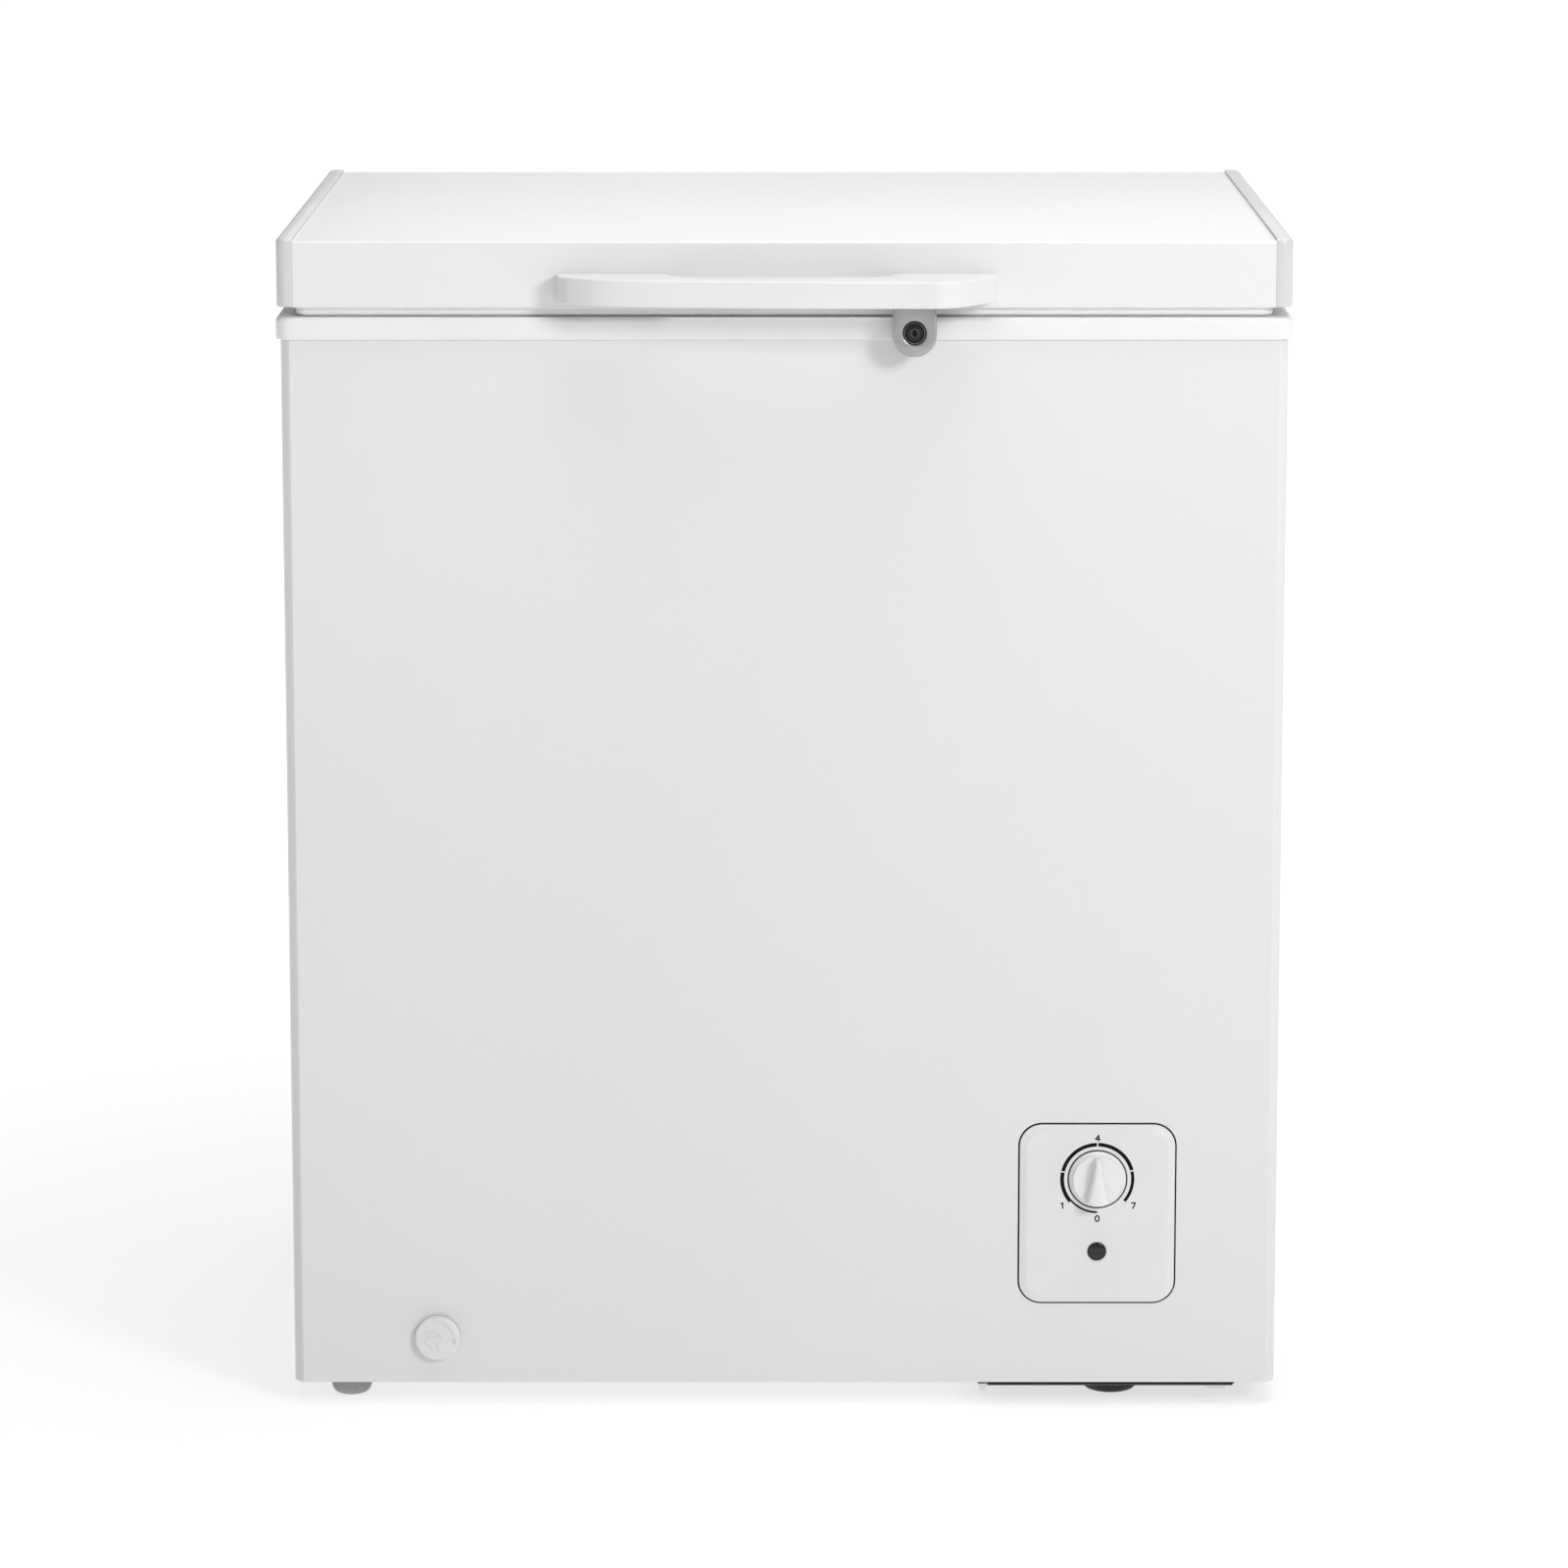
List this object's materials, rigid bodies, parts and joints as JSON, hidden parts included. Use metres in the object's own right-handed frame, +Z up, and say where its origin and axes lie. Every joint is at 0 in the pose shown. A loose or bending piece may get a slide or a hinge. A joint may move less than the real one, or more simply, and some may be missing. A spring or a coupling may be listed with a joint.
{
  "type": "chest freezer",
  "caption": "Compact white chest freezer: foamed cabinet on feet, hinged lid with bow handle and key lock, control panel and drain dial on the front, hanging wire basket.",
  "frame": {"origin": "centre of the object's box, handle and hinges included, on the floor under the feet", "axes": "+Z up, -Y out of the front (handle, lock, control panel), +X to the right of someone facing the front, where the machine compartment is"},
  "size_m": [0.721, 0.6328, 0.852],
  "materials": {
    "white_steel": "white powder coat, slight sheen",
    "zinc_steel": "galvanised, dull",
    "white_plastic": "moulded, satin",
    "grey_plastic": "moulded, satin",
    "black_plastic": "moulded, matt",
    "foam": "rigid foam, matt",
    "liner": "embossed sheet, satin",
    "tube_aluminium": "drawn tube",
    "copper": "drawn tube",
    "compressor_black": "black stove enamel",
    "dark_iron": "machined casting",
    "black_rubber": "matt",
    "gasket": "soft extrusion, matt",
    "lens": "smoked, clear gloss",
    "cable": "PVC sheath",
    "wire_white": "plastic-coated wire",
    "spring_steel": "oil-dark",
    "lock_black": "satin"
  },
  "bodies": {
    "cabinet": {"cabinet_wrap": "white_steel", "rear_panel": "zinc_steel", "bottom_panel": "zinc_steel", "foam_insulation": "foam", "inner_liner": "liner", "top_frame": "white_plastic", "evaporator_coil": "tube_aluminium", "condenser_coil": "copper", "compressor_base_plate": "zinc_steel", "compressor_shell": "compressor_black", "compressor_pump_unit": "dark_iron", "compressor_grommets": "black_rubber", "compressor_bolts": "zinc_steel", "compressor_terminal_box": "black_plastic", "suction_pipe": "copper", "discharge_pipe": "copper", "filter_drier": "copper", "capillary_tube": "copper", "wiring_harness": "cable", "mains_cord_gland": "black_rubber", "rear_grille": "white_plastic", "rear_grille_screws": "zinc_steel", "side_grille": "white_plastic", "control_panel": "white_plastic", "thermostat_body": "zinc_steel", "thermostat_capillary": "copper", "indicator_lens": "lens", "indicator_lamp": "white_plastic", "drain_pipe": "white_plastic", "cabinet_feet": "grey_plastic", "base_plate_feet": "black_plastic", "lock_strike": "zinc_steel", "hinge_cabinet_leaves": "zinc_steel", "hinge_pins": "zinc_steel", "hinge_springs": "spring_steel", "cabinet_hinge_screws": "zinc_steel"},
    "lid": {"hinge_lid_leaves": "zinc_steel", "lid_hinge_screws": "zinc_steel", "lid_skin": "white_steel", "lid_end_cap_left": "white_plastic", "lid_end_cap_right": "white_plastic", "lid_foam": "foam", "lid_inner_panel": "white_plastic", "lid_gasket": "gasket", "lid_handle": "white_plastic", "handle_screws": "zinc_steel", "lock_housing": "grey_plastic"},
    "thermostat_dial": {"thermostat_knob": "white_plastic", "thermostat_shaft": "zinc_steel"},
    "lock_cylinder": {"lock_barrel": "lock_black", "lock_cam": "zinc_steel"},
    "drain_outlet": {"drain_spout": "white_plastic"},
    "drain_cap": {"drain_dial": "white_plastic"},
    "floor_plug": {"floor_drain_plug": "grey_plastic"},
    "basket": {"basket_wires": "wire_white", "basket_grips": "grey_plastic"}
  },
  "joints": [
    {"name": "lid_hinge", "type": "hinge", "parent": "cabinet", "child": "lid", "pos_m": [0, 0.3095, 0.8], "axis": [-1, 0, 0], "range_deg": [0, 80], "stiffness_Nm_per_rad": 6, "springref_deg": 90, "deforming": ["hinge_springs"]},
    {"name": "thermostat_turn", "type": "hinge", "parent": "cabinet", "child": "thermostat_dial", "pos_m": [0.2268, -0.2535, 0.1695], "axis": [0, 1, 0], "range_deg": [-180, 132]},
    {"name": "lock_turn", "type": "hinge", "parent": "lid", "child": "lock_cylinder", "pos_m": [0.0916, -0.2705, 0.7874], "axis": [0, -1, 0], "range_deg": [0, 90]},
    {"name": "drain_pull", "type": "slide", "parent": "cabinet", "child": "drain_outlet", "axis": [0, -1, 0], "range_m": [0, 0.03]},
    {"name": "drain_turn", "type": "hinge", "parent": "drain_outlet", "child": "drain_cap", "pos_m": [-0.2524, -0.2535, 0.0507], "axis": [0, -1, 0], "range_deg": [0, 180]},
    {"name": "floor_plug_lift", "type": "slide", "parent": "cabinet", "child": "floor_plug", "axis": [0, 0, 1], "range_m": [0, 0.06]},
    {"name": "basket_slide", "type": "slide", "parent": "cabinet", "child": "basket", "axis": [1, 0, 0], "range_m": [0, 0.36]}
  ]
}
